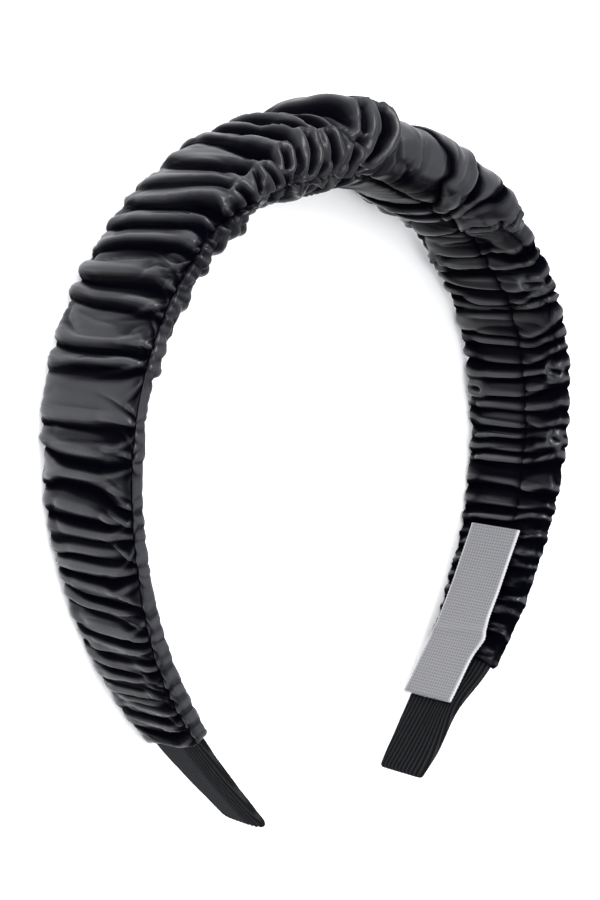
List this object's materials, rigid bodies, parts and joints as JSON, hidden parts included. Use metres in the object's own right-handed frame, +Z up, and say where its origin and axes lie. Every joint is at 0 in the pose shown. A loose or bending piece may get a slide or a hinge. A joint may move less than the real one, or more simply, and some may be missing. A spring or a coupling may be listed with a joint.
{
  "type": "ruched headband",
  "caption": "Open headband: a padded band with ribbed tips, gathered in a puffy crown and ruched arms of black faux leather, with a bare woven label inside one arm.",
  "frame": {"origin": "on the surface that the headband lies on, under the middle of its bounding box", "axes": "+Z up from that surface, towards the band's front edge; +Y from the open mouth between the tips to the crown; +X to the wearer's arm that carries the label"},
  "size_m": [0.1418, 0.1592, 0.0401],
  "materials": {
    "ribbed_ribbon": "matt ribbed ribbon, ribs along the band",
    "faux_leather": "satin polyurethane leather, smooth",
    "woven_satin": "fine woven label, silver grey"
  },
  "bodies": {
    "root": {"padded_band": "ribbed_ribbon", "ruched_sleeve": "faux_leather", "woven_label": "woven_satin"}
  },
  "joints": []
}
